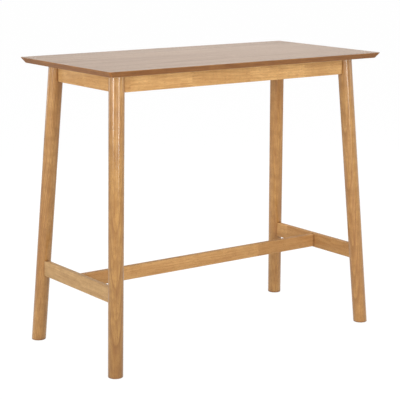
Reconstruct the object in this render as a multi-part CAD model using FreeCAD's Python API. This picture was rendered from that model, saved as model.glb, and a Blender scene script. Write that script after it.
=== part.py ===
import FreeCAD
import Part
import math
import os

# Overall size of the table, in millimetres, with the origin on the floor under its middle
table_length = 1200.0
table_width = 600.0
table_height = 1050.0

# Top panel: a board core with solid lippings round it, veneered on both faces
core_thickness = 19.0
veneer_thickness = 0.5
lipping_width = 30.0
nosing_height = 1.5
bevel_inset = 12.5
corner_radius = 9.0

# Legs: round, a little thicker at the top, leaning out along both sides of the table
leg_top_diameter = 54.5
leg_foot_diameter = 52.5
leg_top_inset_x = 91.0
leg_top_inset_y = 101.5
leg_foot_inset_x = 33.0
leg_foot_inset_y = 35.0
leg_flat_depth = 5.2
foot_edge_radius = 2.5

# Aprons: each outset is from the middle of the leg's top to the apron's outer face
apron_height = 63.0
apron_thickness = 20.0
long_apron_outset = 14.0
side_apron_outset = 8.0
apron_corner_radius = 6.0
apron_edge_radius = 2.0

# Stretchers: two between the legs of each end and one between those two
stretcher_level = 278.0
stretcher_thickness = 20.0
side_stretcher_height = 56.0
centre_stretcher_height = 50.0
stretcher_edge_radius = 2.5
housing_depth = 6.5
housing_clearance = 0.1

# Corner blocks behind the legs
block_height = 54.0
block_thickness = 22.0
block_leg_gap = 3.0

# Hanger bolts, their washers and their nuts
bolt_diameter = 8.0
bolt_wood_depth = 22.0
bolt_point_length = 5.0
bolt_tail = 4.0
bolt_chamfer = 0.8
bolt_end_gap = 1.0
bolt_hole_diameter = 9.0
bolt_level_shares = (0.325, 0.675)
thread_clearance = 0.1
washer_diameter = 16.0
washer_thickness = 1.6
washer_bore = 8.4
nut_width = 13.0
nut_thickness = 6.5
nut_chamfer = 0.9
nut_sides = 6

# Wood screws: a pan head, a straight shank and a point
screw_diameter = 4.0
screw_point_length = 4.0
screw_head_diameter = 8.0
screw_head_height = 2.8
screw_recess_length = 4.2
screw_recess_width = 1.1
screw_recess_depth = 1.6
screw_head_radius_shares = (0.0, 0.7, 0.94, 1.0, 1.0)
screw_head_rise_shares = (1.0, 1.0, 0.78, 0.4, 0.0)
screw_pilot_clearance = 0.1
counterbore_diameter = 8.6

# How far each kind of screw grips and bites
block_screw_grip = 8.0
block_screw_bite = 13.0
top_screw_grip = 30.0
top_screw_bite = 12.0
top_screw_spacing = 26.0
bracket_screw_bite = 12.0

# Steel angle brackets between the long aprons and the top
bracket_leaf = 28.0
bracket_width = 18.0
bracket_thickness = 2.0
bracket_bend_radius = 2.0
bracket_spacing = 400.0

# Dowels and their holes
dowel_diameter = 8.0
dowel_chamfer = 0.8
dowel_clearance = 0.1
dowel_end_gap = 1.0
apron_dowel_depth = 20.0
apron_dowel_leg_depth = 15.0
apron_dowel_level_shares = (0.16, 0.84)
stretcher_dowel_depth = 20.0
stretcher_dowel_leg_depth = 18.0
centre_dowel_depth = 20.0
centre_dowel_side_depth = 13.0
stretcher_dowel_level_shares = (0.26, 0.74)

# An edge counts as parallel to a direction when it leaves it by less than this share
parallel_share = 0.001

# All cutting tools run past the surface that they start from by this much
overrun = 10.0

# Places that follow from the sizes above
half_length = table_length / 2
half_width = table_width / 2
top_thickness = core_thickness + veneer_thickness * 2
underside_z = table_height - top_thickness
nosing_z = table_height - nosing_height
leg_top_x = half_length - leg_top_inset_x
leg_top_y = half_width - leg_top_inset_y
leg_foot_x = half_length - leg_foot_inset_x
leg_foot_y = half_width - leg_foot_inset_y
leg_top_radius = leg_top_diameter / 2
leg_foot_radius = leg_foot_diameter / 2
long_apron_end_x = leg_top_x - leg_top_radius + leg_flat_depth
side_apron_end_y = leg_top_y - leg_top_radius + leg_flat_depth
long_apron_outer_y = leg_top_y + long_apron_outset
long_apron_inner_y = long_apron_outer_y - apron_thickness
side_apron_outer_x = leg_top_x + side_apron_outset
side_apron_inner_x = side_apron_outer_x - apron_thickness
apron_bottom_z = underside_z - apron_height

x_axis = FreeCAD.Vector(1, 0, 0)
y_axis = FreeCAD.Vector(0, 1, 0)
z_axis = FreeCAD.Vector(0, 0, 1)
diagonal = FreeCAD.Vector(1, 1, 0).normalize()
across_diagonal = FreeCAD.Vector(1, -1, 0).normalize()

# The four corners by name, with the sides of X and Y on which they lie
corners = {
    "front_left": (-1, -1),
    "front_right": (1, -1),
    "back_left": (-1, 1),
    "back_right": (1, 1),
}


def leg_point(z):
    """The middle of the leg of the +X +Y corner at the height z."""
    share = z / underside_z
    x = leg_foot_x + (leg_top_x - leg_foot_x) * share
    y = leg_foot_y + (leg_top_y - leg_foot_y) * share
    return FreeCAD.Vector(x, y, z)


def leg_radius(z):
    """The leg's radius at the height z."""
    return leg_foot_radius + (leg_top_radius - leg_foot_radius) * z / underside_z


def box(low, high):
    """A box from its lowest to its highest corner."""
    size = high - low
    return Part.makeBox(size.x, size.y, size.z, low)


def prism(points, low_z, high_z):
    """A plan outline, raised from low_z to high_z."""
    corners_at_foot = [FreeCAD.Vector(x, y, low_z) for x, y in points]
    outline = Part.makePolygon(corners_at_foot + corners_at_foot[:1])
    return Part.Face(outline).extrude(z_axis * (high_z - low_z))


def turned(points):
    """A solid turned about Z from the radii and heights of its half outline."""
    profile = [FreeCAD.Vector(radius, 0, z) for radius, z in points]
    outline = Part.makePolygon(profile + profile[:1])
    return Part.Face(outline).revolve(FreeCAD.Vector(), z_axis, 360)


def placed(shape, point, direction):
    """A copy of a shape made along Z, moved to a point and turned along a direction."""
    copy = shape.copy()
    copy.Placement = FreeCAD.Placement(point, FreeCAD.Rotation(z_axis, direction))
    return copy


def hole(start, direction, depth, diameter):
    """A round cutting tool that runs from a point along a direction."""
    return Part.makeCylinder(diameter / 2, depth, start, direction)


def cut_all(shape, tools):
    """The shape with every tool cut out of it."""
    return shape.cut(Part.makeCompound(tools)) if tools else shape


def at_side(shape, side_x, side_y):
    """A shape of the +X +Y corner, mirrored to the named sides."""
    if side_x < 0:
        shape = shape.mirror(FreeCAD.Vector(), x_axis)
    if side_y < 0:
        shape = shape.mirror(FreeCAD.Vector(), y_axis)
    return shape


def at_corners(shapes):
    """The shapes of the +X +Y corner at all four corners."""
    return [at_side(shape, side_x, side_y) for side_x, side_y in corners.values() for shape in shapes]


def at_both(shapes, normal):
    """The shapes and their mirror images across the middle plane with that normal."""
    return shapes + [shape.mirror(FreeCAD.Vector(), normal) for shape in shapes]


def edges_along(shape, direction):
    """The straight edges of a shape that run along a direction."""
    found = []
    for edge in shape.Edges:
        start, end = edge.Vertexes[0].Point, edge.Vertexes[-1].Point
        run = end - start
        is_straight = edge.Curve.TypeId == "Part::GeomLine"
        if is_straight and run.cross(direction).Length < run.Length * parallel_share:
            found.append(edge)
    return found


def save(name, shapes):
    """One STEP file for each node, whether of one solid or of a group."""
    solids = [solid for shape in shapes for solid in shape.Solids]
    node = solids[0] if len(solids) == 1 else Part.makeCompound(solids)
    node.exportStep("parts/" + name + ".step")
    print(name, len(solids), "solids", round(sum(solid.Volume for solid in solids)), "mm3", node.isValid())


# Top panel

def edge_inset(z):
    """How far the undercut edge lies inside the table's outline at the height z."""
    return bevel_inset * max(nosing_z - z, 0) / (nosing_z - underside_z)


def top_outline(z):
    """The top's outline at the height z: four straight sides and four round corners."""
    inset = edge_inset(z)
    reach_x = half_length - inset
    reach_y = half_width - inset
    middle = corner_radius * math.sqrt(2) / 2
    edges = []
    end = None
    for side_x, side_y in ((1, -1), (1, 1), (-1, 1), (-1, -1)):
        centre = FreeCAD.Vector(side_x * (reach_x - corner_radius), side_y * (reach_y - corner_radius), z)
        to_x = centre + FreeCAD.Vector(side_x * corner_radius, 0, 0)
        to_y = centre + FreeCAD.Vector(0, side_y * corner_radius, 0)
        through = centre + FreeCAD.Vector(side_x * middle, side_y * middle, 0)
        first, last = (to_y, to_x) if side_x * side_y < 0 else (to_x, to_y)
        if end is not None:
            edges.append(Part.LineSegment(end, first).toShape())
        edges.append(Part.Arc(first, through, last).toShape())
        end = last
    edges.append(Part.LineSegment(end, edges[0].Vertexes[0].Point).toShape())
    return Part.Wire(edges)


def top_layer(low_z, high_z):
    """The part of the top between two heights, with its edge as the outline gives it."""
    return Part.makeLoft([top_outline(low_z), top_outline(high_z)], True, True)


def top_screw_holes():
    """The pilot holes in the top, for the screws of the corner blocks and of the brackets."""
    return at_corners(block_top_pilots() + bracket_top_pilots())


def make_face_veneer():
    return top_layer(table_height - veneer_thickness, table_height)


def make_backing_veneer():
    return cut_all(top_layer(underside_z, underside_z + veneer_thickness), top_screw_holes())


def core_box():
    reach_x = half_length - lipping_width
    reach_y = half_width - lipping_width
    low = FreeCAD.Vector(-reach_x, -reach_y, underside_z + veneer_thickness)
    return box(low, FreeCAD.Vector(reach_x, reach_y, table_height - veneer_thickness))


def make_core():
    return cut_all(core_box(), top_screw_holes())


def make_lippings():
    """Four solid edges, mitred at the corners of the table."""
    bevelled = top_layer(underside_z + veneer_thickness, nosing_z)
    upright = top_layer(nosing_z, table_height - veneer_thickness)
    ring = bevelled.fuse(upright).cut(core_box())
    far_x = half_length + overrun
    far_y = half_width + overrun
    ridge_x = half_length - half_width
    long_side = [(-far_x, far_y), (far_x, far_y), (ridge_x, 0), (-ridge_x, 0)]
    end_side = [(far_x, -far_y), (far_x, far_y), (ridge_x, 0)]
    back = ring.common(prism(long_side, underside_z, table_height))
    right = ring.common(prism(end_side, underside_z, table_height))
    return {
        "lipping_back": back,
        "lipping_front": at_side(back, 1, -1),
        "lipping_right": right,
        "lipping_left": at_side(right, -1, 1),
    }


# Legs

def leg_blank():
    """The turned leg along its leaning line, cut level at the floor and under the top."""
    foot = leg_point(-overrun)
    head = leg_point(underside_z + overrun)
    run = head - foot
    cone = Part.makeCone(leg_radius(foot.z), leg_radius(head.z), run.Length, foot, run)
    room = FreeCAD.Vector(half_length + leg_top_diameter, half_width + leg_top_diameter, underside_z)
    leg = cone.common(box(FreeCAD.Vector(), room))
    rim = [edge for edge in leg.Edges if edge.BoundBox.ZMax < foot_edge_radius]
    return leg.makeFillet(foot_edge_radius, rim)


def leg_flats():
    """Upright cuts on the two inner sides of the leg, where the aprons' ends sit."""
    toward_middle = FreeCAD.Vector(long_apron_end_x, half_width + leg_top_diameter, table_height)
    toward_front = FreeCAD.Vector(half_length + leg_top_diameter, side_apron_end_y, table_height)
    return [box(FreeCAD.Vector(), toward_middle), box(FreeCAD.Vector(), toward_front)]


def make_leg():
    """The leg of the +X +Y corner."""
    sockets = [side_stretcher_bar(housing_clearance)]
    tools = leg_flats() + sockets + bolt_pilots() + apron_dowel_holes() + side_dowel_holes()
    return cut_all(leg_blank(), tools)


# Aprons

def apron_board(half_run, outer):
    """An upright board along X on the +Y side, its lower corners and its edges eased."""
    low = FreeCAD.Vector(-half_run, outer - apron_thickness, apron_bottom_z)
    board = box(low, FreeCAD.Vector(half_run, outer, underside_z))
    lower = [edge for edge in edges_along(board, y_axis) if edge.BoundBox.ZMax < underside_z]
    board = board.makeFillet(apron_corner_radius, lower)
    rims = []
    for edge in board.Edges:
        bounds = edge.BoundBox
        if bounds.YLength < apron_edge_radius and bounds.ZMin < underside_z - apron_edge_radius:
            rims.append(edge)
    return board.makeFillet(apron_edge_radius, rims)


def make_long_apron():
    """The back apron, with the pilot holes of its blocks' and brackets' screws."""
    tools = at_both([long_block_pilot(z) for z in bolt_levels()] + bracket_apron_pilots(), x_axis)
    return cut_all(apron_board(long_apron_end_x, long_apron_outer_y), tools)


def make_side_apron():
    """The right apron, with the pilot holes of its blocks' screws and its dowel holes."""
    board = apron_board(side_apron_end_y, side_apron_outer_x)
    board.rotate(FreeCAD.Vector(), z_axis, -90)
    tools = at_both([side_block_pilot(z) for z in bolt_levels()] + apron_dowel_holes(), y_axis)
    return cut_all(board, tools)


# Stretchers

stretcher_x = leg_point(stretcher_level).x
side_stretcher_end_y = leg_point(stretcher_level).y - leg_radius(stretcher_level) + housing_depth
centre_stretcher_end_x = stretcher_x - stretcher_thickness / 2


def eased_bar(half_x, half_y, height, along, centre, clearance):
    """A level bar with its four long edges rounded, grown all round by a clearance."""
    reach = FreeCAD.Vector(half_x, half_y, height / 2)
    grown = reach + (FreeCAD.Vector(1, 1, 1) - along) * clearance
    bar = box(centre - grown, centre + grown)
    return bar.makeFillet(stretcher_edge_radius + clearance, edges_along(bar, along))


def side_stretcher_bar(clearance):
    """The right stretcher, or with a clearance the socket that it leaves in the legs."""
    centre = FreeCAD.Vector(stretcher_x, 0, stretcher_level)
    half_x = stretcher_thickness / 2
    return eased_bar(half_x, side_stretcher_end_y, side_stretcher_height, y_axis, centre, clearance)


def make_side_stretcher():
    tools = at_both(side_dowel_holes() + centre_dowel_holes(), y_axis)
    return cut_all(side_stretcher_bar(0), tools)


def make_centre_stretcher():
    centre = FreeCAD.Vector(0, 0, stretcher_level)
    half_y = stretcher_thickness / 2
    bar = eased_bar(centre_stretcher_end_x, half_y, centre_stretcher_height, x_axis, centre, 0)
    return cut_all(bar, at_both(centre_dowel_holes(), x_axis))


# Corner blocks, in plan a board set across the corner between two aprons

leg_side_sum = leg_top_x + leg_top_y - (leg_top_radius + block_leg_gap) * math.sqrt(2)
inner_side_sum = leg_side_sum - block_thickness * math.sqrt(2)
long_block_screw_x = (leg_side_sum + inner_side_sum) / 2 - long_apron_inner_y
side_block_screw_y = (leg_side_sum + inner_side_sum) / 2 - side_apron_inner_x
block_to_leg = leg_top_radius + block_leg_gap
block_middle = FreeCAD.Vector(leg_top_x, leg_top_y, 0) - diagonal * (block_to_leg + block_thickness / 2)
block_inner_face = FreeCAD.Vector(leg_top_x, leg_top_y, 0) - diagonal * (block_to_leg + block_thickness)


def make_block():
    """The block of the +X +Y corner, with all its screw and bolt holes."""
    plan = [
        (side_apron_inner_x, leg_side_sum - side_apron_inner_x),
        (leg_side_sum - long_apron_inner_y, long_apron_inner_y),
        (inner_side_sum - long_apron_inner_y, long_apron_inner_y),
        (side_apron_inner_x, inner_side_sum - side_apron_inner_x),
    ]
    tools = []
    for z in bolt_levels():
        start = FreeCAD.Vector(block_inner_face.x, block_inner_face.y, z) - diagonal * overrun
        tools.append(hole(start, diagonal, block_thickness + overrun * 2, bolt_hole_diameter))
        tools += stepped_hole(long_block_screw_seat(z), y_axis, block_screw_grip)
        tools += stepped_hole(side_block_screw_seat(z), x_axis, block_screw_grip)
    for seat in top_screw_seats():
        tools += stepped_hole(seat, z_axis, top_screw_grip)
    return cut_all(prism(plan, underside_z - block_height, underside_z), tools)


def stepped_hole(seat, direction, grip):
    """A screw's hole: a bore through the grip and a counterbore behind its head."""
    bore = screw_diameter + screw_pilot_clearance * 2
    return [
        hole(seat - direction * overrun, direction, grip + overrun * 2, bore),
        hole(seat - direction * block_height, direction, block_height, counterbore_diameter),
    ]


# Hanger bolts

def bolt_levels():
    """The heights of the two bolts of a leg, and of the screws beside them."""
    return [underside_z - apron_height * share for share in bolt_level_shares]


def bolt_reach():
    """From the middle of the leg to the bolt's point, along the diagonal."""
    return leg_top_radius - bolt_wood_depth


def bolt_length():
    inside = bolt_wood_depth + block_leg_gap + block_thickness
    return inside + washer_thickness + nut_thickness + bolt_tail


def bolt_tail_point(z):
    """The bolt's free end, on the inner side of the block."""
    end = FreeCAD.Vector(leg_top_x, leg_top_y, z)
    return end - diagonal * (bolt_reach() + bolt_length())


def bolt_pilots():
    """The bolts' holes in the leg of the +X +Y corner."""
    depth = bolt_length() + bolt_end_gap
    bore = bolt_diameter + thread_clearance * 2
    return [hole(bolt_tail_point(z), diagonal, depth, bore) for z in bolt_levels()]


def make_bolts():
    """Plain shanks with a chamfered free end and a pointed wood end."""
    radius = bolt_diameter / 2
    length = bolt_length()
    outline = [
        (0, 0),
        (radius - bolt_chamfer, 0),
        (radius, bolt_chamfer),
        (radius, length - bolt_point_length),
        (0, length),
    ]
    bolt = turned(outline)
    return [placed(bolt, bolt_tail_point(z), diagonal) for z in bolt_levels()]


def make_washers():
    ring = hole(FreeCAD.Vector(), z_axis, washer_thickness, washer_diameter)
    ring = ring.cut(hole(FreeCAD.Vector(), z_axis, washer_thickness, washer_bore))
    washers = []
    for z in bolt_levels():
        seat = FreeCAD.Vector(block_inner_face.x, block_inner_face.y, z)
        washers.append(placed(ring, seat, diagonal * -1))
    return washers


def make_nuts():
    """Hexagon nuts with their outer corners turned down."""
    corner = nut_width / math.sqrt(3)
    outline = []
    for number in range(nut_sides):
        angle = 2 * math.pi * number / nut_sides
        outline.append((corner * math.cos(angle), corner * math.sin(angle)))
    barrel = turned([
        (0, 0),
        (corner, 0),
        (corner, nut_thickness - nut_chamfer),
        (corner - nut_chamfer * math.sqrt(3), nut_thickness),
        (0, nut_thickness),
    ])
    bore = bolt_diameter + thread_clearance * 2
    nut = prism(outline, 0, nut_thickness).common(barrel)
    nut = nut.cut(hole(FreeCAD.Vector(), z_axis, nut_thickness, bore))
    nuts = []
    for z in bolt_levels():
        seat = FreeCAD.Vector(block_inner_face.x, block_inner_face.y, z) - diagonal * washer_thickness
        nuts.append(placed(nut, seat, diagonal * -1))
    return nuts


# Wood screws

def screw(length):
    """A screw along Z with the underside of its head at zero and its point at the length."""
    head_radius = screw_head_diameter / 2
    outline = []
    for radius_share, rise_share in zip(screw_head_radius_shares, screw_head_rise_shares):
        outline.append((head_radius * radius_share, -screw_head_height * rise_share))
    outline += [
        (screw_diameter / 2, 0),
        (screw_diameter / 2, length - screw_point_length),
        (0, length),
    ]
    reach = FreeCAD.Vector(screw_recess_length / 2, screw_recess_width / 2, screw_head_height)
    rise = FreeCAD.Vector(0, 0, screw_head_height * 2 - screw_recess_depth)
    slot = box(reach * -1 - rise, reach - rise)
    crossing = slot.copy()
    crossing.rotate(FreeCAD.Vector(), z_axis, 90)
    return turned(outline).cut(slot.fuse(crossing))


def pilot(seat, direction, length):
    """The hole that a screw of that length leaves in the wood."""
    return hole(seat, direction, length + screw_pilot_clearance, screw_diameter + screw_pilot_clearance * 2)


def long_block_screw_seat(z):
    return FreeCAD.Vector(long_block_screw_x, long_apron_inner_y - block_screw_grip, z)


def side_block_screw_seat(z):
    return FreeCAD.Vector(side_apron_inner_x - block_screw_grip, side_block_screw_y, z)


def long_block_pilot(z):
    return pilot(long_block_screw_seat(z), y_axis, block_screw_grip + block_screw_bite)


def side_block_pilot(z):
    return pilot(side_block_screw_seat(z), x_axis, block_screw_grip + block_screw_bite)


def make_block_screws():
    """Two screws into each apron from the block of the +X +Y corner."""
    blank = screw(block_screw_grip + block_screw_bite)
    screws = []
    for z in bolt_levels():
        screws.append(placed(blank, long_block_screw_seat(z), y_axis))
        screws.append(placed(blank, side_block_screw_seat(z), x_axis))
    return screws


def top_screw_seats():
    """Where the heads of the two upright screws sit inside the block."""
    middle = FreeCAD.Vector(block_middle.x, block_middle.y, underside_z - top_screw_grip)
    step = across_diagonal * (top_screw_spacing / 2)
    return [middle - step, middle + step]


def block_top_pilots():
    return [pilot(seat, z_axis, top_screw_grip + top_screw_bite) for seat in top_screw_seats()]


def make_top_screws():
    blank = screw(top_screw_grip + top_screw_bite)
    return [placed(blank, seat, z_axis) for seat in top_screw_seats()]


# Angle brackets

bracket_x = bracket_spacing / 2
bracket_apron_seat = FreeCAD.Vector(
    bracket_x, long_apron_inner_y - bracket_thickness, underside_z - bracket_leaf / 2 - bracket_thickness)
bracket_top_seat = FreeCAD.Vector(
    bracket_x, long_apron_inner_y - bracket_leaf / 2 - bracket_thickness, underside_z - bracket_thickness)


def bracket_apron_pilots():
    return [pilot(bracket_apron_seat, y_axis, bracket_thickness + bracket_screw_bite)]


def bracket_top_pilots():
    return [pilot(bracket_top_seat, z_axis, bracket_thickness + bracket_screw_bite)]


def edges_near(edges, y, z):
    """Those edges along X that lie within half a thickness of a point of the bracket's section."""
    found = []
    for edge in edges:
        middle = edge.BoundBox.Center
        if math.hypot(middle.y - y, middle.z - z) < bracket_thickness / 2:
            found.append(edge)
    return found


def make_brackets():
    """A bent steel strip with one leaf on the apron and one under the top."""
    low_x = bracket_x - bracket_width / 2
    near_y = long_apron_inner_y - bracket_thickness
    near_z = underside_z - bracket_thickness
    far_y = long_apron_inner_y - bracket_leaf
    far_z = underside_z - bracket_leaf
    points = [
        FreeCAD.Vector(low_x, long_apron_inner_y, far_z),
        FreeCAD.Vector(low_x, long_apron_inner_y, underside_z),
        FreeCAD.Vector(low_x, far_y, underside_z),
        FreeCAD.Vector(low_x, far_y, near_z),
        FreeCAD.Vector(low_x, near_y, near_z),
        FreeCAD.Vector(low_x, near_y, far_z),
    ]
    strip = Part.Face(Part.makePolygon(points + points[:1])).extrude(x_axis * bracket_width)
    inner = edges_near(edges_along(strip, x_axis), near_y, near_z)
    strip = strip.makeFillet(bracket_bend_radius, inner)
    outer = edges_near(edges_along(strip, x_axis), long_apron_inner_y, underside_z)
    strip = strip.makeFillet(bracket_bend_radius + bracket_thickness, outer)
    bore = screw_diameter + screw_pilot_clearance * 2
    tools = [
        hole(bracket_apron_seat - y_axis * overrun, y_axis, overrun * 2, bore),
        hole(bracket_top_seat - z_axis * overrun, z_axis, overrun * 2, bore),
    ]
    return [cut_all(strip, tools)]


def make_bracket_screws():
    blank = screw(bracket_thickness + bracket_screw_bite)
    return [placed(blank, bracket_apron_seat, y_axis), placed(blank, bracket_top_seat, z_axis)]


# Dowels

def dowel(start, direction, length):
    """A dowel with chamfered ends that runs from a point along a direction."""
    radius = dowel_diameter / 2
    outline = [
        (0, 0),
        (radius - dowel_chamfer, 0),
        (radius, dowel_chamfer),
        (radius, length - dowel_chamfer),
        (radius - dowel_chamfer, length),
        (0, length),
    ]
    return placed(turned(outline), start, direction)


def dowel_hole(start, direction, length):
    """The holes on both sides of a joint for a dowel, a little deeper than it is long."""
    depth = length + dowel_end_gap * 2
    return hole(start - direction * dowel_end_gap, direction, depth, dowel_diameter + dowel_clearance * 2)


def apron_dowels(make):
    """The two dowels, or their holes, between the side apron and the leg."""
    length = apron_dowel_depth + apron_dowel_leg_depth
    x = side_apron_outer_x - apron_thickness / 2
    y = side_apron_end_y - apron_dowel_depth
    levels = [underside_z - apron_height * share for share in apron_dowel_level_shares]
    return [make(FreeCAD.Vector(x, y, z), y_axis, length) for z in levels]


def apron_dowel_holes():
    return apron_dowels(dowel_hole)


def side_dowels(make):
    """The two dowels, or their holes, between the side stretcher and the leg."""
    length = stretcher_dowel_depth + stretcher_dowel_leg_depth
    bottom = stretcher_level - side_stretcher_height / 2
    levels = [bottom + side_stretcher_height * share for share in stretcher_dowel_level_shares]
    y = side_stretcher_end_y - stretcher_dowel_depth
    return [make(FreeCAD.Vector(stretcher_x, y, z), y_axis, length) for z in levels]


def side_dowel_holes():
    return side_dowels(dowel_hole)


def centre_dowels(make):
    """The two dowels, or their holes, between the centre stretcher and the side stretcher."""
    length = centre_dowel_depth + centre_dowel_side_depth
    bottom = stretcher_level - centre_stretcher_height / 2
    levels = [bottom + centre_stretcher_height * share for share in stretcher_dowel_level_shares]
    x = centre_stretcher_end_x - centre_dowel_depth
    return [make(FreeCAD.Vector(x, 0, z), x_axis, length) for z in levels]


def centre_dowel_holes():
    return centre_dowels(dowel_hole)


# Every node of the table

os.makedirs("parts", exist_ok=True)

save("top_core", [make_core()])
save("top_face_veneer", [make_face_veneer()])
save("top_backing_veneer", [make_backing_veneer()])
for lipping_name, lipping in make_lippings().items():
    save(lipping_name, [lipping])

leg_shape = make_leg()
block_shape = make_block()
for corner_name, (corner_x, corner_y) in corners.items():
    save("leg_" + corner_name, [at_side(leg_shape, corner_x, corner_y)])
    save("corner_block_" + corner_name, [at_side(block_shape, corner_x, corner_y)])

long_apron = make_long_apron()
save("apron_back", [long_apron])
save("apron_front", [at_side(long_apron, 1, -1)])
side_apron = make_side_apron()
save("apron_right", [side_apron])
save("apron_left", [at_side(side_apron, -1, 1)])

side_stretcher = make_side_stretcher()
save("stretcher_right", [side_stretcher])
save("stretcher_left", [at_side(side_stretcher, -1, 1)])
save("stretcher_centre", [make_centre_stretcher()])

save("hanger_bolts", at_corners(make_bolts()))
save("bolt_washers", at_corners(make_washers()))
save("bolt_nuts", at_corners(make_nuts()))
save("block_screws", at_corners(make_block_screws()))
save("top_screws", at_corners(make_top_screws()))
save("apron_brackets", at_corners(make_brackets()))
save("bracket_screws", at_corners(make_bracket_screws()))
save("side_apron_dowels", at_corners(apron_dowels(dowel)))
save("side_stretcher_dowels", at_corners(side_dowels(dowel)))
save("centre_stretcher_dowels", at_both(centre_dowels(dowel), x_axis))
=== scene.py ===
import math
import bmesh
import bpy
from mathutils import Matrix, Vector


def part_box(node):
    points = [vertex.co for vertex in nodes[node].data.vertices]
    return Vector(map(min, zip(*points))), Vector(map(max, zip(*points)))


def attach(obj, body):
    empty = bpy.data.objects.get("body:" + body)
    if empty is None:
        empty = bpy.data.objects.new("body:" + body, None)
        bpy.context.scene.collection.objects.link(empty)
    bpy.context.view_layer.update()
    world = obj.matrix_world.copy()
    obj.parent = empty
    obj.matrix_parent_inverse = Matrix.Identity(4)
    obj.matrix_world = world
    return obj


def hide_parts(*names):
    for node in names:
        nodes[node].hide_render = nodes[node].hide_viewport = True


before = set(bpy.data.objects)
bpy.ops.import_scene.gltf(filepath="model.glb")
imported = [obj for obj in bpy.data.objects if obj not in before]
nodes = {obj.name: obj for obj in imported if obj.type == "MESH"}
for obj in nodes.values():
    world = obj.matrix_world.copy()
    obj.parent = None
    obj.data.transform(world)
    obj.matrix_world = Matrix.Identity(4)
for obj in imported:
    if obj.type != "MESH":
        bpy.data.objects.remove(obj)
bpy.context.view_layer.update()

# Sizes of the table that its boxes alone don't give, in metres
leg_top_radius = 0.02725
leg_foot_radius = 0.02625
leg_top_inset = Vector((0.091, 0.1015, 0))
leg_foot_inset = Vector((0.033, 0.035, 0))
foot_edge_radius = 0.0025
top_corner_radius = 0.009
nosing_height = 0.0015
bevel_inset = 0.0125
nosing_ease = 0.0006
veneer_ease = 0.00035
apron_corner_radius = 0.006
apron_edge_radius = 0.002
stretcher_edge_radius = 0.0025

# Where the main planes of the table lie, from the frame
veneer_low, veneer_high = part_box("top_face_veneer")
core_low, core_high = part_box("top_core")
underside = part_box("top_backing_veneer")[0].z
table_height = veneer_high.z
half_length = veneer_high.x
half_width = veneer_high.y

# How much too long a leg is at each end before it is cut, in metres. Then what counts as the same place, as
# parallel and as level, and the angle from which an edge stays sharp
cut_reach = 0.05
same_place = 0.0001
parallel_slack = 0.001
level_slope = 0.9
sharp_angle = math.radians(40)

# Which way from the middle each corner of the table lies, and the three directions
corners = {"front_left": (-1, -1), "front_right": (1, -1), "back_left": (-1, 1), "back_right": (1, 1)}
x_axis = Vector((1, 0, 0))
y_axis = Vector((0, 1, 0))
z_axis = Vector((0, 0, 1))

# How much the colour of each leg is scaled at its foot and at its head, in red, green and blue; most are
# darker towards the foot
leg_tones = {
    "front_left": ((0.69, 0.67, 0.57), (1.02, 1.05, 1.03)),
    "front_right": ((1.0, 1.01, 1.04), (0.94, 0.96, 1.0)),
    "back_left": ((0.92, 0.92, 0.9), (1.01, 1.02, 1.07)),
    "back_right": ((0.93, 0.92, 0.89), (1.07, 1.07, 1.06)),
}

# On which side of each leg the heart of its log lay, and how far from the middle of the leg, in metres
leg_hearts = {
    "front_left": (0.54, 0.84, 0),
    "front_right": (0.94, 0.34, 0),
    "back_left": (0.87, -0.5, 0),
    "back_right": (-0.8, 0.6, 0),
}
heart_reach_at_foot = 0.036
heart_reach_at_head = 0.082

# How far along its log each leg was cut, in metres
leg_starts = {"front_left": 3.33, "front_right": 4.07, "back_left": 3.33, "back_right": 0.74}

# The boards of each rail: their length, where their row starts and the height of the heart, in metres
rail_boards = {
    "apron": (
        ("front", 0.255, -3.775, 0.9),
        ("back", 0.255, 0.03, 0.88),
        ("left", 0.21, -8.19, 0.85),
        ("right", 0.21, 0.18, 0.84),
    ),
    "stretcher": (
        ("left", 0.27, -3.0, 0.2),
        ("right", 0.27, 0.16, 0.21),
        ("centre", 0.315, -1.0, 0.22),
    ),
}

# The fingers that join those boards: half the width of a pair, and how much longer than wide they are
finger_half_pair = 0.0021
finger_slope = 3.0

# The width of the leaves in the veneers of the top, and where the hearts of their logs lay
leaf_width = 0.15
face_heart = (0, 0.05, 1.0)
backing_heart = (0.3, -0.1, 0.98)

# Where the hearts of the lippings lay: outside each edge, a step further on for each one, and in height
lipping_heart_out = 0.2
lipping_heart_step = Vector((0.37, 0.23, 0))
lipping_heart_height = 0.97

# The hearts of the corner blocks lay a metre up, and this share of the way from the middle to the foot
block_heart_share = 0.8

# How far boards of one rail or leaves of one veneer lay from each other in their log, at most, in metres
board_spread = (2.0, 0.08, 0.05)

# The middle of a noise, and between which values of its noise each mark fades in
noise_middle = (0.5, 0.5, 0.5)
cloud_fade = (0.35, 0.65)
broad_fade = (0.28, 0.72)
fibre_fade = (0.35, 0.7)
streak_fade = (0.45, 0.7)
ripple_fade = (0.4, 0.66)
gloss_fade = (0.3, 0.7)
pore_fade = 0.07

# Where in a ring its late wood begins and ends, as shares of the ring, and how dark the weakest ring is
late_wood_rise = (0.3, 0.88)
late_wood_fall = (0.9, 1.0)
weakest_ring = 0.3

# Rubbed edges: how thin the wood is there, and the grains and spread of the patches
thin_wood = (0.92, 0.62)
patch_stretch = (24.0, 70.0, 70.0)
patch_fade = (0.36, 0.66)

# Stain and painted shade in the joints: how wide it lies, in metres, and how closed a corner is where it
# shows
joint_reach = 0.012
joint_fade = (0.88, 0.45)

# How much rougher pores and rubbed places are, and how high or deep each mark stands
pore_roughness = 0.12
worn_roughness = 0.14
fibre_height = 0.5
pore_depth = 0.6
late_wood_depth = 0.15
wood_relief = 0.0002

# The room: white, the greys of the floor, and how strongly its white shows and the world lights
white = (1.0, 1.0, 1.0, 1.0)
floor_in_light = (0.5, 0.5, 0.5, 1.0)
floor_in_view = (0.95, 0.95, 0.95, 1.0)
floor_glow_strength = 1.05
floor_glow_share = 0.92
floor_size = 30.0
ambient_strength = 0.362

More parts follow.
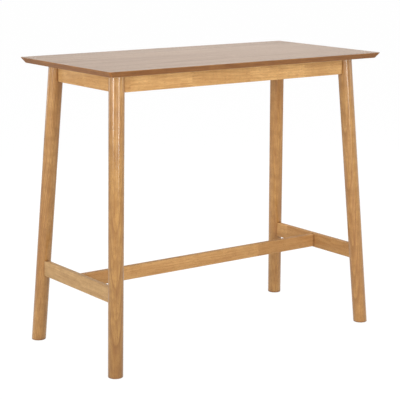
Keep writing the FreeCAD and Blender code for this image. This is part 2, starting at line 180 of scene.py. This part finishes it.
# How much of the floor's white is mirrored: from one distance to another, in metres, and the share at each
glow_near_table = (1.4, 2.8, 0.65, 0.1)
glow_to_left = (-1.0, -3.5, 0.1, 0.6)
glow_to_right = (1.7, 4.0, 0.1, 1.0)


# Finishes

def srgb(red, green, blue):
    """A linear colour from the 0 to 255 values that a screen shows."""
    linear = []
    for value in (red, green, blue):
        share = value / 255
        linear.append(share / 12.92 if share <= 0.04045 else ((share + 0.055) / 1.055) ** 2.4)
    return (*linear, 1.0)


def node(tree, kind, inputs=None, **settings):
    """A shader node with its settings and inputs, each input a value or another node's socket."""
    made = tree.nodes.new("ShaderNode" + kind)
    for name, value in settings.items():
        setattr(made, name, value)
    for name, value in (inputs or {}).items():
        if isinstance(value, bpy.types.NodeSocket):
            tree.links.new(value, made.inputs[name])
        else:
            made.inputs[name].default_value = value
    return made


def maths(tree, operation, first, second=0.0):
    """One step of arithmetic."""
    return node(tree, "Math", {0: first, 1: second}, operation=operation).outputs[0]


def vector_maths(tree, operation, first, second=(0, 0, 0)):
    """One step of arithmetic on vectors."""
    return node(tree, "VectorMath", {0: first, 1: second}, operation=operation)


def ranged(tree, value, from_low, from_high, to_low=0.0, to_high=1.0):
    """A value mapped from one range to another and held inside it."""
    inputs = {
        "Value": value,
        "From Min": from_low,
        "From Max": from_high,
        "To Min": to_low,
        "To Max": to_high,
    }
    return node(tree, "MapRange", inputs).outputs["Result"]


def noise(tree, vector, stretch, detail=2.0, roughness=0.5):
    """Soft noise whose grains are as long on each axis as one over the stretch."""
    scaled = vector_maths(tree, "MULTIPLY", vector, stretch).outputs["Vector"]
    inputs = {"Vector": scaled, "Scale": 1.0, "Detail": detail, "Roughness": roughness}
    return node(tree, "TexNoise", inputs)


def blend(tree, share, first, second, kind="MIX"):
    """Two colours mixed by a share."""
    mixer = node(tree, "Mix", data_type="RGBA", blend_type=kind)
    for socket, value in ((mixer.inputs[0], share), (mixer.inputs[6], first), (mixer.inputs[7], second)):
        if isinstance(value, bpy.types.NodeSocket):
            tree.links.new(value, socket)
        else:
            socket.default_value = value
    return mixer.outputs[2]


def new_finish(name):
    """An empty material with its output and its surface shader."""
    material = bpy.data.materials.new(name)
    material.use_nodes = True
    tree = material.node_tree
    tree.nodes.clear()
    surface = node(tree, "BsdfPrincipled")
    output = node(tree, "OutputMaterial")
    tree.links.new(surface.outputs[0], output.inputs["Surface"])
    return material, tree, surface


def grain_space(tree, grain, heart):
    """Object coordinates turned so that X runs along the grain, measured from a point of the heart line."""
    turn = Vector(grain).normalized().rotation_difference(x_axis).to_matrix()
    place = node(tree, "TexCoord").outputs["Object"]
    inputs = {"Vector": place, "Location": -(turn @ Vector(heart)), "Rotation": turn.to_euler()}
    return node(tree, "Mapping", inputs, vector_type="POINT").outputs["Vector"]


def jointed(tree, place, board_length, board_width):
    """Boards glued end to end by small fingers, or side by side, each with its own figure and tone."""
    parts = node(tree, "SeparateXYZ", {"Vector": place})
    number = 0.0
    if board_length:
        fingers = maths(tree, "PINGPONG", parts.outputs["Z"], finger_half_pair)
        along = maths(tree, "ADD", parts.outputs["X"], maths(tree, "MULTIPLY", fingers, finger_slope))
        number = maths(tree, "FLOOR", maths(tree, "DIVIDE", along, board_length))
    if board_width:
        number = maths(tree, "FLOOR", maths(tree, "DIVIDE", parts.outputs["Y"], board_width))
    random = node(tree, "TexWhiteNoise", {"W": number}, noise_dimensions="1D")
    shift = vector_maths(tree, "SUBTRACT", random.outputs["Color"], noise_middle).outputs["Vector"]
    shift = vector_maths(tree, "MULTIPLY", shift, board_spread).outputs["Vector"]
    return vector_maths(tree, "ADD", place, shift).outputs["Vector"], random.outputs["Value"]


def growth_rings(tree, place, look):
    """How dark the late wood is, from the distance to the heart line and each ring's own strength."""
    across = vector_maths(tree, "MULTIPLY", place, (0, 1, 1)).outputs["Vector"]
    from_heart = vector_maths(tree, "LENGTH", across).outputs["Value"]
    ring = maths(tree, "DIVIDE", from_heart, look["ring_width"])
    ring_number = maths(tree, "FLOOR", ring)
    strength = node(tree, "TexWhiteNoise", {"W": ring_number}, noise_dimensions="1D").outputs["Value"]
    in_ring = maths(tree, "FRACT", ring)
    rise = ranged(tree, in_ring, *late_wood_rise)
    fall = ranged(tree, in_ring, *late_wood_fall, 1.0, 0.0)
    late = maths(tree, "MULTIPLY", rise, fall)
    return maths(tree, "MULTIPLY", late, ranged(tree, strength, 0.0, 1.0, weakest_ring, 1.0))


def end_grain(tree, grain, start, full):
    """How far the surface cuts across the fibres, where stain soaks in deeper."""
    facing = node(tree, "TexCoord").outputs["Normal"]
    along = vector_maths(tree, "DOT_PRODUCT", facing, Vector(grain).normalized()).outputs["Value"]
    return ranged(tree, maths(tree, "ABSOLUTE", along), start, full)


def worn_edges(tree, place, reach):
    """Rubbed places along the outer edges, where the wood close under the surface soon comes to an end."""
    inputs = {"Distance": reach}
    solid = node(tree, "AmbientOcclusion", inputs, inside=True, only_local=True, samples=4).outputs["AO"]
    patches = noise(tree, place, patch_stretch, detail=3.0).outputs["Fac"]
    return maths(tree, "MULTIPLY", ranged(tree, solid, *thin_wood), ranged(tree, patches, *patch_fade))


def joint_stain_and_painted_shade(tree):
    """Dark lines along the joints: stain in the corner of two pieces, and painted shade in closed corners.
    """
    opening = node(tree, "AmbientOcclusion", {"Distance": joint_reach}, samples=8).outputs["AO"]
    return ranged(tree, opening, *joint_fade)


def wood(name, grain, heart, look, board_length=0.0, board_width=0.0, tones=None, start=0.0):
    """Finished wood cut from a log: rings round the heart line, fibres, pores and slow changes of tone."""
    material, tree, surface = new_finish(name)
    whole = grain_space(tree, grain, heart)
    place = vector_maths(tree, "ADD", whole, (start, 0, 0)).outputs["Vector"]
    tone_shift = None
    if board_length or board_width:
        place, tone_shift = jointed(tree, place, board_length, board_width)
    waves = noise(tree, place, look["wave_stretch"], detail=3.0, roughness=0.45).outputs["Color"]
    waves = vector_maths(tree, "SUBTRACT", waves, noise_middle).outputs["Vector"]
    waves = vector_maths(tree, "MULTIPLY", waves, look["wave_reach"]).outputs["Vector"]
    bent = vector_maths(tree, "ADD", place, waves).outputs["Vector"]
    late = growth_rings(tree, bent, look)
    fibres = noise(tree, bent, look["fibre_stretch"], detail=3.0, roughness=0.62).outputs["Fac"]
    streaks = noise(tree, bent, look["streak_stretch"]).outputs["Fac"]
    ripple_figure_and_sheen = noise(tree, bent, look["ripple_stretch"]).outputs["Fac"]
    pores = noise(tree, bent, look["pore_stretch"], detail=1.0, roughness=0.4).outputs["Fac"]
    pores = ranged(tree, pores, look["pore_start"], look["pore_start"] + pore_fade)
    broad = noise(tree, place, look["broad_stretch"]).outputs["Fac"]
    if tone_shift:
        lean = maths(tree, "MULTIPLY", maths(tree, "SUBTRACT", tone_shift, 0.5), look["board_contrast"])
        broad = maths(tree, "ADD", broad, lean)
    colour = blend(tree, ranged(tree, broad, *broad_fade), look["deep"], look["light"])
    colour = blend(tree, maths(tree, "MULTIPLY", late, look["ring_share"]), colour, look["late"])
    fibre_share = ranged(tree, fibres, *fibre_fade, 0.0, look["fibre_share"])
    colour = blend(tree, fibre_share, colour, look["fibre"])
    streak_share = ranged(tree, streaks, *streak_fade, 0.0, look["streak_share"])
    colour = blend(tree, streak_share, colour, look["late"])
    # Bands across the grain: the wood's ripple figure, and a painted sheen that stands for its shimmer in
    # the light
    ripple_share = ranged(tree, ripple_figure_and_sheen, *ripple_fade, 0.0, look["ripple_share"])
    colour = blend(tree, ripple_share, colour, look["fibre"])
    colour = blend(tree, maths(tree, "MULTIPLY", pores, look["pore_share"]), colour, look["pore"])
    if tones:
        along = node(tree, "SeparateXYZ", {"Vector": whole}).outputs["X"]
        at_foot, at_head = tones
        tone = blend(tree, ranged(tree, along, 0.0, table_height), (*at_foot, 1.0), (*at_head, 1.0))
        colour = blend(tree, 1.0, colour, tone, "MULTIPLY")
    ends = end_grain(tree, grain, look["end_start"], look["end_full"])
    colour = blend(tree, maths(tree, "MULTIPLY", ends, look["end_share"]), colour, look["end"])
    # Darkened towards the end-grain colour along the joints: partly stain, partly painted shade in the
    # corners between parts
    joints = maths(tree, "MULTIPLY", joint_stain_and_painted_shade(tree), look["joint_share"])
    colour = blend(tree, joints, colour, look["end"])
    worn = worn_edges(tree, whole, look["wear_reach"])
    colour = blend(tree, maths(tree, "MULTIPLY", worn, look["wear_share"]), colour, look["worn"])
    roughness = ranged(tree, fibres, *gloss_fade, look["rough_low"], look["rough_high"])
    roughness = maths(tree, "ADD", roughness, maths(tree, "MULTIPLY", pores, pore_roughness))
    roughness = maths(tree, "ADD", roughness, maths(tree, "MULTIPLY", worn, worn_roughness))
    relief = maths(tree, "MULTIPLY", fibres, fibre_height)
    relief = maths(tree, "SUBTRACT", relief, maths(tree, "MULTIPLY", pores, pore_depth))
    relief = maths(tree, "SUBTRACT", relief, maths(tree, "MULTIPLY", late, late_wood_depth))
    bump = node(tree, "Bump", {"Strength": look["relief"], "Distance": wood_relief, "Height": relief})
    tree.links.new(colour, surface.inputs["Base Color"])
    tree.links.new(roughness, surface.inputs["Roughness"])
    tree.links.new(bump.outputs["Normal"], surface.inputs["Normal"])
    surface.inputs["IOR"].default_value = look["ior"]
    surface.inputs["Coat Weight"].default_value = look["coat"]
    surface.inputs["Coat IOR"].default_value = look["coat_ior"]
    surface.inputs["Coat Roughness"].default_value = look["coat_roughness"]
    return material


# The looks of the wood: its colours, how many grains of each noise go into a metre along and across the
# grain, how strongly each mark shows, and the gloss of the lacquer
honey = {
    "light": srgb(226, 178, 118),
    "deep": srgb(206, 157, 100),
    "late": srgb(168, 117, 68),
    "fibre": srgb(186, 136, 84),
    "pore": srgb(112, 70, 36),
    "end": srgb(128, 82, 42),
    "worn": srgb(232, 192, 136),
    "wave_stretch": (2.2, 10.0, 10.0),
    "wave_reach": (0.0, 0.016, 0.016),
    "ring_width": 0.0048,
    "ring_share": 0.42,
    "fibre_stretch": (9.0, 420.0, 420.0),
    "fibre_share": 0.34,
    "streak_stretch": (13.0, 130.0, 130.0),
    "streak_share": 0.3,
    "ripple_stretch": (38.0, 26.0, 26.0),
    "ripple_share": 0.22,
    "pore_stretch": (95.0, 1500.0, 1500.0),
    "pore_start": 0.62,
    "pore_share": 0.5,
    "broad_stretch": (3.4, 16.0, 16.0),
    "board_contrast": 0.5,
    "end_start": 0.8,
    "end_full": 0.98,
    "end_share": 0.6,
    "joint_share": 0.85,
    "wear_reach": 0.005,
    "wear_share": 0.3,
    "rough_low": 0.4,
    "rough_high": 0.52,
    "relief": 0.35,
    "ior": 1.28,
    "coat": 0.8,
    "coat_ior": 1.5,
    "coat_roughness": 0.17,
}
rail_honey = dict(
    honey,
    light=srgb(242, 195, 130),
    deep=srgb(214, 167, 108),
    late=srgb(178, 124, 72),
    fibre=srgb(196, 144, 86),
    ring_share=0.5,
    streak_share=0.4,
    ripple_share=0.34,
    board_contrast=0.4,
    rough_low=0.52,
    rough_high=0.64,
    ior=1.25,
    coat=0.12,
    coat_roughness=0.3,
)
leg_honey = dict(
    honey,
    light=srgb(217, 166, 99),
    deep=srgb(187, 134, 73),
    late=srgb(140, 89, 41),
    fibre=srgb(160, 110, 57),
    ring_share=0.58,
    streak_share=0.42,
    ripple_share=0.42,
)
stretcher_honey = dict(
    rail_honey,
    light=srgb(222, 174, 114),
    deep=srgb(201, 153, 98),
    late=srgb(166, 113, 65),
    fibre=srgb(183, 132, 78),
)
# A darker, greyer copy of the rail wood for the left stretcher: painted shade for the strong light on its
# left side
shaded_grey_honey = dict(
    rail_honey,
    light=srgb(217, 177, 125),
    deep=srgb(197, 160, 112),
    late=srgb(162, 121, 78),
    fibre=srgb(178, 139, 92),
)
umber = dict(
    honey,
    light=srgb(165, 113, 61),
    deep=srgb(143, 94, 50),
    late=srgb(110, 66, 33),
    fibre=srgb(128, 82, 43),
    pore=srgb(78, 44, 22),
    end=srgb(146, 84, 26),
    worn=srgb(196, 140, 84),
    broad_stretch=(7.0, 16.0, 16.0),
    streak_share=0.45,
    ripple_share=0.35,
    end_start=0.2,
    end_full=0.62,
    end_share=0.7,
    wear_share=0.45,
    wear_reach=0.004,
    ior=1.26,
    coat=0.1,
    coat_roughness=0.3,
)
walnut_face = dict(
    honey,
    light=srgb(160, 139, 121),
    deep=srgb(148, 127, 110),
    late=srgb(116, 97, 82),
    fibre=srgb(126, 107, 91),
    pore=srgb(88, 64, 46),
    worn=srgb(196, 150, 104),
    wave_reach=(0.0, 0.03, 0.03),
    ring_width=0.006,
    broad_stretch=(1.1, 22.0, 22.0),
    end_share=0.0,
    joint_share=0.0,
    streak_stretch=(1.6, 40.0, 40.0),
    streak_share=0.6,
    fibre_share=0.42,
    wear_reach=0.0004,
    rough_low=0.52,
    rough_high=0.6,
    ior=1.53,
    coat=0.15,
    coat_roughness=0.5,
)
raw_wood = dict(
    honey,
    light=srgb(222, 188, 142),
    deep=srgb(206, 168, 122),
    late=srgb(184, 142, 98),
    fibre=srgb(194, 154, 110),
    end=srgb(184, 140, 92),
    worn=srgb(234, 206, 164),
    rough_low=0.55,
    rough_high=0.7,
    coat=0.0,
)


def zinc():
    """Bright zinc plating with a faint cloudy bloom, rubbed bare along its edges."""
    material, tree, surface = new_finish("bright_zinc")
    blue_zinc = srgb(186, 190, 194)
    pale_zinc = srgb(216, 216, 208)
    bare_steel = srgb(150, 150, 152)
    rubbed_width = 0.0012
    place = node(tree, "TexCoord").outputs["Object"]
    cloud = noise(tree, place, (140.0, 140.0, 140.0), detail=3.0).outputs["Fac"]
    fine = noise(tree, place, (2200.0, 2200.0, 2200.0)).outputs["Fac"]
    colour = blend(tree, ranged(tree, cloud, *cloud_fade), blue_zinc, pale_zinc)
    colour = blend(tree, worn_edges(tree, place, rubbed_width), colour, bare_steel)
    bump = node(tree, "Bump", {"Strength": 0.2, "Distance": 0.0001, "Height": fine})
    tree.links.new(colour, surface.inputs["Base Color"])
    tree.links.new(ranged(tree, cloud, *gloss_fade, 0.26, 0.42), surface.inputs["Roughness"])
    tree.links.new(bump.outputs["Normal"], surface.inputs["Normal"])
    surface.inputs["Metallic"].default_value = 1.0
    return material


def fibre_board():
    """The brown felted fibres of the core board."""
    material, tree, surface = new_finish("fibre_board")
    dark_fibres = srgb(150, 118, 84)
    pale_fibres = srgb(176, 144, 106)
    frayed_fibres = srgb(196, 166, 126)
    frayed_width = 0.004
    place = node(tree, "TexCoord").outputs["Object"]
    felt = noise(tree, place, (900.0, 900.0, 900.0), detail=4.0).outputs["Fac"]
    colour = blend(tree, ranged(tree, felt, *cloud_fade), dark_fibres, pale_fibres)
    colour = blend(tree, worn_edges(tree, place, frayed_width), colour, frayed_fibres)
    bump = node(tree, "Bump", {"Strength": 0.4, "Distance": 0.0002, "Height": felt})
    tree.links.new(colour, surface.inputs["Base Color"])
    tree.links.new(ranged(tree, felt, *gloss_fade, 0.8, 0.95), surface.inputs["Roughness"])
    tree.links.new(bump.outputs["Normal"], surface.inputs["Normal"])
    return material


# Pieces

def finished(mesh, name, material, node_name):
    """Turns a bmesh into a smooth object that rides on the table and stands for a CAD node."""
    data = bpy.data.meshes.new(name)
    mesh.to_mesh(data)
    mesh.free()
    data.shade_smooth()
    data.set_sharp_from_angle(angle=sharp_angle)
    data.materials.append(material)
    piece = bpy.data.objects.new(name, data)
    bpy.context.scene.collection.objects.link(piece)
    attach(piece, "root")
    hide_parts(node_name)


def keep(node_name, material):
    """A CAD node that stays, with a finish of its own."""
    piece = nodes[node_name]
    piece.data.materials.clear()
    piece.data.materials.append(material)


def cut_off(mesh, point, normal):
    """Cuts away what lies beyond a plane and closes the cut."""
    geometry = mesh.verts[:] + mesh.edges[:] + mesh.faces[:]
    bmesh.ops.bisect_plane(mesh, geom=geometry, plane_co=point, plane_no=normal, clear_outer=True)
    rim = [edge for edge in mesh.edges if edge.is_boundary]
    bmesh.ops.holes_fill(mesh, edges=rim, sides=0)


def ease(mesh, edges, radius, segments):
    """Rounds the edges over."""
    bmesh.ops.bevel(mesh, geom=edges, offset=radius, segments=segments, profile=0.5,
                    affect="EDGES", material=-1, clamp_overlap=True)


def runs_along(edge, axis):
    """Whether an edge is parallel to an axis."""
    run = edge.verts[1].co - edge.verts[0].co
    return run.cross(axis).length < run.length * parallel_slack


def board(low, high):
    """A square-edged board between two corners."""
    mesh = bmesh.new()
    bmesh.ops.create_cube(mesh, size=1.0)
    bmesh.ops.scale(mesh, vec=high - low, verts=mesh.verts)
    bmesh.ops.translate(mesh, vec=(low + high) / 2, verts=mesh.verts)
    return mesh


def apron(side, across, finish):
    """An apron with round lower corners at its ends and eased edges, square at the top."""
    low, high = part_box("apron_" + side)
    mesh = board(low, high)
    ends = [edge for edge in mesh.edges
            if runs_along(edge, across) and edge.verts[0].co.z < (low.z + high.z) / 2]
    ease(mesh, ends, apron_corner_radius, segments=6)
    face_rims = []
    for edge in mesh.edges:
        at_top = all(vert.co.z > high.z - same_place for vert in edge.verts)
        on_side = abs(edge.verts[0].co.dot(across) - edge.verts[1].co.dot(across)) < same_place
        if on_side and not at_top:
            face_rims.append(edge)
    ease(mesh, face_rims, apron_edge_radius, segments=4)
    finished(mesh, side + "_apron", finish, "apron_" + side)


def stretcher(side, along, finish):
    """A stretcher with its four long edges rounded."""
    low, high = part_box("stretcher_" + side)
    mesh = board(low, high)
    long_edges = [edge for edge in mesh.edges if runs_along(edge, along)]
    ease(mesh, long_edges, stretcher_edge_radius, segments=5)
    finished(mesh, side + "_stretcher", finish, "stretcher_" + side)


def leg_line(side_x, side_y):
    """The middle of a leg at the floor and under the top."""
    reach = Vector((half_length, half_width, 0))
    sides = Vector((side_x, side_y, 0))
    foot = (reach - leg_foot_inset) * sides
    head = (reach - leg_top_inset) * sides + z_axis * underside
    return foot, head


def leg(corner, side_x, side_y, finish):
    """A leaning round leg, cut level at both ends, with an upright flat for the end of each apron."""
    foot, head = leg_line(side_x, side_y)
    run = head - foot
    share = cut_reach / run.length
    taper = (leg_foot_radius - leg_top_radius) * share
    mesh = bmesh.new()
    bmesh.ops.create_cone(mesh, cap_ends=True, segments=96, radius1=leg_foot_radius + taper,
                          radius2=leg_top_radius - taper, depth=run.length + cut_reach * 2)
    turn = z_axis.rotation_difference(run).to_matrix()
    bmesh.ops.rotate(mesh, cent=(0, 0, 0), matrix=turn, verts=mesh.verts)
    bmesh.ops.translate(mesh, vec=(foot + head) / 2, verts=mesh.verts)
    cut_off(mesh, head, z_axis)
    cut_off(mesh, foot, -z_axis)
    rim = [edge for edge in mesh.edges if all(vert.co.z < same_place for vert in edge.verts)]
    ease(mesh, rim, foot_edge_radius, segments=5)
    apron_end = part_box("apron_front")[1].x * side_x
    cut_off(mesh, Vector((apron_end, 0, 0)), Vector((-side_x, 0, 0)))
    apron_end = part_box("apron_left")[1].y * side_y
    cut_off(mesh, Vector((0, apron_end, 0)), Vector((0, -side_y, 0)))
    finished(mesh, corner + "_leg", finish, "leg_" + corner)


def rounded_plate(z_low, z_high):
    """The outline of the top with its round corners, as a plate between two heights."""
    mesh = bmesh.new()
    bmesh.ops.create_grid(mesh, x_segments=1, y_segments=1, size=1.0)
    bmesh.ops.scale(mesh, vec=(half_length, half_width, 1), verts=mesh.verts)
    bmesh.ops.translate(mesh, vec=(0, 0, z_high), verts=mesh.verts)
    bmesh.ops.bevel(mesh, geom=mesh.verts[:], offset=top_corner_radius, segments=14, profile=0.5,
                    affect="VERTICES", material=-1)
    made = bmesh.ops.extrude_face_region(mesh, geom=mesh.faces[:])
    lower = [item for item in made["geom"] if isinstance(item, bmesh.types.BMVert)]
    bmesh.ops.translate(mesh, vec=(0, 0, z_low - z_high), verts=lower)
    bmesh.ops.recalc_face_normals(mesh, faces=mesh.faces)
    return mesh


def edges_at(mesh, z):
    """The edges that lie level at the height z."""
    return [edge for edge in mesh.edges if all(abs(vert.co.z - z) < same_place for vert in edge.verts)]


def face_veneer(finish):
    """The thin sheet on the top, its upper arris just broken."""
    mesh = rounded_plate(veneer_low.z, veneer_high.z)
    ease(mesh, edges_at(mesh, veneer_high.z), veneer_ease, segments=3)
    finished(mesh, "face_veneer", finish, "top_face_veneer")


def lipping(side, outward, finish):
    """One solid edge of the top: an upright nosing over an undercut bevel, mitred at both ends."""
    low_z = core_low.z
    high_z = core_high.z
    nosing_z = veneer_high.z - nosing_height
    slope_end = bevel_inset * (nosing_z - low_z) / (nosing_z - underside)
    mesh = rounded_plate(nosing_z, high_z)
    bottom = [face for face in mesh.faces if face.normal.z < -level_slope]
    made = bmesh.ops.extrude_face_region(mesh, geom=bottom)
    lower = [item for item in made["geom"] if isinstance(item, bmesh.types.BMVert)]
    bmesh.ops.delete(mesh, geom=bottom, context="FACES_ONLY")
    for side_x, side_y in corners.values():
        corner_verts = [vert for vert in lower if vert.co.x * side_x > 0 and vert.co.y * side_y > 0]
        inward = (-side_x * slope_end, -side_y * slope_end, low_z - nosing_z)
        bmesh.ops.translate(mesh, vec=inward, verts=corner_verts)
    ease(mesh, edges_at(mesh, nosing_z), nosing_ease, segments=4)
    inner_face = outward * (core_high.x if outward.x else core_high.y)
    cut_off(mesh, inner_face, -outward)
    along = Vector((abs(outward.y), abs(outward.x), 0))
    for direction in (1, -1):
        corner = outward * (half_length if outward.x else half_width)
        corner += along * direction * (half_width if outward.x else half_length)
        cut_off(mesh, corner, along * direction - outward)
    finished(mesh, side + "_lipping", finish, "lipping_" + side)


def make_top():
    """The veneered board with its four solid edges."""
    face_veneer(wood("face_veneer", x_axis, face_heart, walnut_face, board_width=leaf_width))
    walnut_back = dict(walnut_face, coat=0.0)
    backing_wood = wood("backing_veneer", x_axis, backing_heart, walnut_back, board_width=leaf_width)
    keep("top_backing_veneer", backing_wood)
    keep("top_core", fibre_board())
    sides = {"front": -y_axis, "back": y_axis, "left": -x_axis, "right": x_axis}
    for number, (side, outward) in enumerate(sides.items()):
        grain = x_axis if outward.y else y_axis
        heart = outward * lipping_heart_out + lipping_heart_step * number + z_axis * lipping_heart_height
        lipping(side, outward, wood(side + "_lipping_wood", grain, heart, umber))


def make_base():
    """Legs, aprons, stretchers and corner blocks, each with its own grain."""
    for corner, (side_x, side_y) in corners.items():
        foot, head = leg_line(side_x, side_y)
        to_heart = Vector(leg_hearts[corner])
        low_heart = foot + to_heart * heart_reach_at_foot
        high_heart = head + to_heart * heart_reach_at_head
        leg_wood = wood(corner + "_leg_wood", high_heart - low_heart, low_heart, leg_honey,
                        tones=leg_tones[corner], start=leg_starts[corner])
        leg(corner, side_x, side_y, leg_wood)
        block_grain = (1, -side_x * side_y, 0)
        block_heart = foot * block_heart_share + z_axis
        block_wood = wood(corner + "_block_wood", block_grain, block_heart, raw_wood)
        keep("corner_block_" + corner, block_wood)
    for side, board_length, start, heart_z in rail_boards["apron"]:
        is_long = side in ("front", "back")
        along, across = (x_axis, y_axis) if is_long else (y_axis, x_axis)
        heart = along * start + z_axis * heart_z
        apron(side, across, wood(side + "_apron_wood", along, heart, rail_honey, board_length))
    for side, board_length, start, heart_z in rail_boards["stretcher"]:
        along = x_axis if side == "centre" else y_axis
        heart = along * start + z_axis * heart_z
        # The left stretcher gets the darker, greyer copy of the wood, as painted shade
        look = shaded_grey_honey if side == "left" else stretcher_honey
        stretcher(side, along, wood(side + "_stretcher_wood", along, heart, look, board_length))
    dowel_wood = wood("dowel_wood", y_axis, (0, 0, 0), raw_wood)
    for name in ("side_apron_dowels", "side_stretcher_dowels", "centre_stretcher_dowels"):
        keep(name, dowel_wood)


def make_hardware():
    """The zinc-plated steel that holds the table together, seen only from below."""
    metal = zinc()
    for name in ("hanger_bolts", "bolt_washers", "bolt_nuts", "block_screws", "top_screws",
                 "apron_brackets", "bracket_screws"):
        keep(name, metal)


# Room, lamps and camera

def seen_share(tree, mirrored):
    """One where the camera or a clear piece shows it, and a chosen share where a surface mirrors it."""
    path = node(tree, "LightPath")
    glossy = maths(tree, "MULTIPLY", path.outputs["Is Glossy Ray"], mirrored)
    straight = maths(tree, "MAXIMUM", path.outputs["Is Camera Ray"], path.outputs["Is Transmission Ray"])
    return maths(tree, "MAXIMUM", straight, glossy)


def make_floor():
    """A wide pale floor that looks white, keeps a faint shadow, and shows in gloss only in part."""
    mesh = bmesh.new()
    bmesh.ops.create_grid(mesh, x_segments=1, y_segments=1, size=floor_size)
    data = bpy.data.meshes.new("floor")
    mesh.to_mesh(data)
    mesh.free()
    material = bpy.data.materials.new("floor_white")
    material.use_nodes = True
    tree = material.node_tree
    tree.nodes.clear()
    place = node(tree, "TexCoord").outputs["Object"]
    from_table = vector_maths(tree, "LENGTH", place).outputs["Value"]
    to_right = node(tree, "SeparateXYZ", {"Vector": place}).outputs["X"]
    near_glow = ranged(tree, from_table, *glow_near_table)
    left_glow = ranged(tree, to_right, *glow_to_left)
    right_glow = ranged(tree, to_right, *glow_to_right)
    far_glow = maths(tree, "MAXIMUM", left_glow, right_glow)
    seen = seen_share(tree, maths(tree, "MAXIMUM", near_glow, far_glow))
    colour = blend(tree, seen, floor_in_light, floor_in_view)
    matt = node(tree, "BsdfDiffuse", {"Color": colour})
    glow = node(tree, "Emission", {"Color": white, "Strength": floor_glow_strength})
    glow_share = maths(tree, "MULTIPLY", seen, floor_glow_share)
    mixed = node(tree, "MixShader", {0: glow_share, 1: matt.outputs[0], 2: glow.outputs[0]})
    output = node(tree, "OutputMaterial")
    tree.links.new(mixed.outputs[0], output.inputs["Surface"])
    data.materials.append(material)
    floor = bpy.data.objects.new("floor", data)
    bpy.context.scene.collection.objects.link(floor)


def make_world():
    """White where it is seen or mirrored, and a soft even light elsewhere."""
    world = bpy.data.worlds.new("studio")
    world.use_nodes = True
    tree = world.node_tree
    tree.nodes.clear()
    strength = ranged(tree, seen_share(tree, 1.0), 0.0, 1.0, ambient_strength, 1.0)
    light = node(tree, "Background", {"Color": white, "Strength": strength})
    output = node(tree, "OutputWorld")
    tree.links.new(light.outputs[0], output.inputs["Surface"])
    bpy.context.scene.world = world


def softbox(name, place, aim, width, height, power, mirrored=True):
    """A rectangular lamp in metres and watts that points at the table, and that gloss mirrors or not."""
    lamp = bpy.data.lights.new(name, "AREA")
    lamp.shape = "RECTANGLE"
    lamp.size = width
    lamp.size_y = height
    lamp.energy = power
    holder = bpy.data.objects.new(name, lamp)
    direction = Vector(aim) - Vector(place)
    turn = direction.to_track_quat("-Z", "Y").to_matrix().to_4x4()
    holder.matrix_world = Matrix.Translation(place) @ turn
    holder.visible_glossy = mirrored
    bpy.context.scene.collection.objects.link(holder)


def make_lamps():
    """Four upright panels that draw the highlights on the legs, and broad lamps overhead and all round."""
    middle = (0, 0, 0.6)
    softbox("left_panel", (-4.94, -0.99, 1.35), (0, 0, 1.35), 1.0, 1.3, 69)
    softbox("right_panel", (-0.43, -4.05, 1.525), (0, 0, 1.525), 0.9, 1.95, 51)
    softbox("right_low_panel", (-0.43, -4.05, 0.55), (0, 0, 0.55), 0.7, 0.5, 7.2)
    softbox("overhead", (0, 0, 3.0), middle, 2.0, 2.0, 50)
    softbox("overhead_right", (1.6, 0.2, 2.8), middle, 1.6, 1.6, 9)
    softbox("far_right", (2.6, -2.2, 1.4), middle, 1.2, 1.2, 11)
    softbox("middle_low_panel", (-2.2, -3.0, 0.75), (0, 0, 0.75), 1.2, 0.6, 5.8)
    softbox("camera_side", (-2.2, -3.0, 1.6), middle, 2.0, 2.0, 27.5, mirrored=False)
    softbox("left", (-3.0, 0.4, 1.5), middle, 1.4, 1.4, 9.5)
    softbox("back_left", (-1.6, 2.4, 1.2), middle, 1.4, 1.4, 9)
    softbox("back_right", (1.3, 3.6, 1.1), middle, 1.6, 1.2, 40, mirrored=False)


def make_camera():
    """The camera of the photograph: its turn, height and distance, and a lens shift for the framing."""
    turn = math.radians(-36.382)
    rise = math.radians(11.847)
    lean = math.radians(0.261)
    distance = 5.0412
    target = Vector((0, 0, 0.5))
    focal_pixels = 1344.73
    image_pixels = 400
    middle_pixel = (203.751, 201.472)
    back = Vector((math.sin(turn) * math.cos(rise), -math.cos(turn) * math.cos(rise), math.sin(rise)))
    right = (-back).cross(z_axis).normalized()
    up = right.cross(-back)
    leaning_right = right * math.cos(lean) + up * math.sin(lean)
    leaning_up = up * math.cos(lean) - right * math.sin(lean)
    lens = bpy.data.cameras.new("camera")
    lens.sensor_width = 36.0
    lens.lens = lens.sensor_width * focal_pixels / image_pixels
    lens.shift_x = (image_pixels / 2 - middle_pixel[0]) / image_pixels
    lens.shift_y = (middle_pixel[1] - image_pixels / 2) / image_pixels
    holder = bpy.data.objects.new("camera", lens)
    turned = Matrix((leaning_right, leaning_up, back)).transposed().to_4x4()
    holder.matrix_world = Matrix.Translation(target + back * distance) @ turned
    bpy.context.scene.collection.objects.link(holder)
    bpy.context.scene.camera = holder


make_top()
make_base()
make_hardware()
make_floor()
make_world()
make_lamps()
make_camera()
bpy.context.scene.view_settings.view_transform = "Standard"
